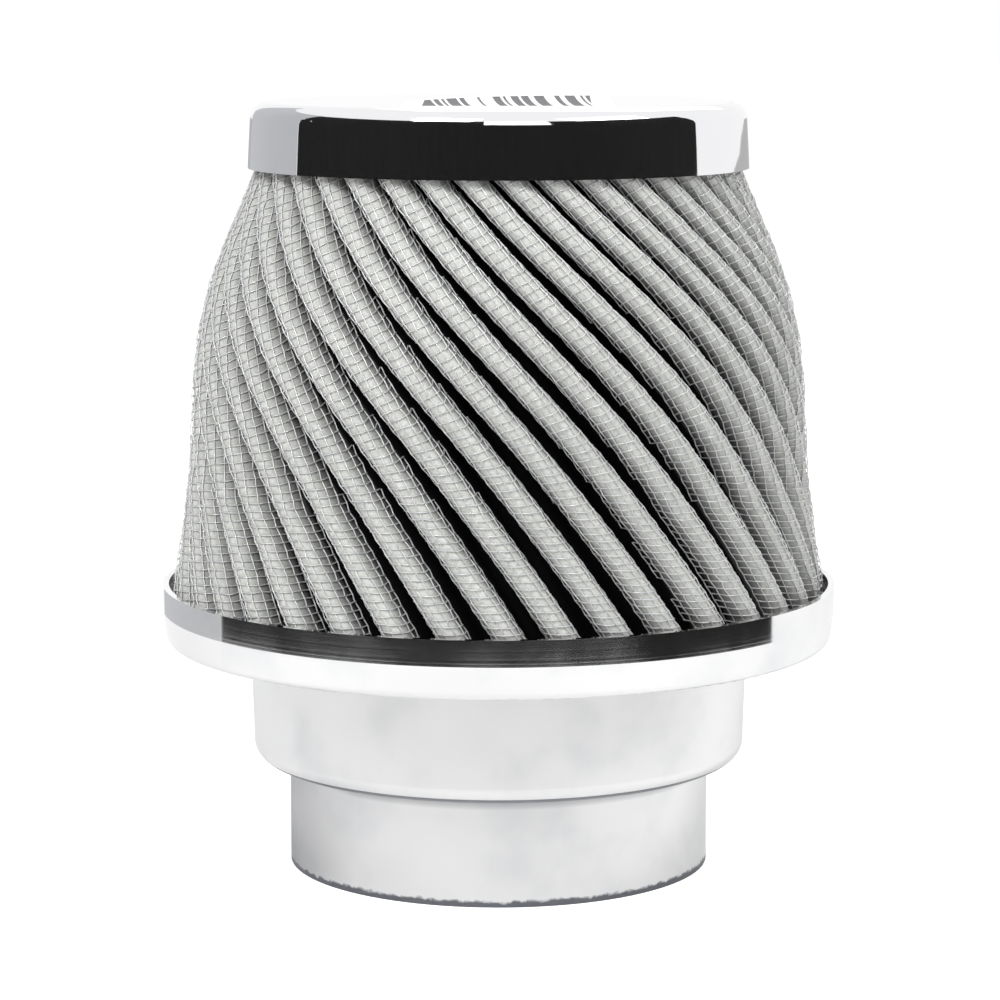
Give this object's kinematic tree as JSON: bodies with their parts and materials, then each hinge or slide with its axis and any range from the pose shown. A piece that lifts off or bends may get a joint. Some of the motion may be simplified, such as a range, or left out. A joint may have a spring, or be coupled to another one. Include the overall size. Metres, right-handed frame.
{
  "type": "performance air filter",
  "caption": "Cone air filter: twisted pleats of woven wire and fibrous media between a chromed end cap and a spun aluminium base with a stepped inlet neck.",
  "frame": {"origin": "centre of the foot of the inlet neck, which the filter stands on", "axes": "+Z along the filter's axis from the neck to the end cap, -Y towards the viewer of the picture"},
  "size_m": [0.1214, 0.1214, 0.1388],
  "materials": {
    "spun_aluminium": "satin, spun",
    "chromed_steel": "mirror",
    "wire_cloth": "bright drawn wire",
    "fibre_media": "fibrous, dull",
    "sealing_compound": "cast, satin",
    "paper": "coated paper"
  },
  "bodies": {
    "root": {"base_flange": "spun_aluminium", "base_potting": "sealing_compound", "outer_mesh": "wire_cloth", "filter_media": "fibre_media", "inner_mesh": "wire_cloth", "cap_potting": "sealing_compound", "end_cap": "chromed_steel", "cap_label": "paper"}
  },
  "joints": []
}
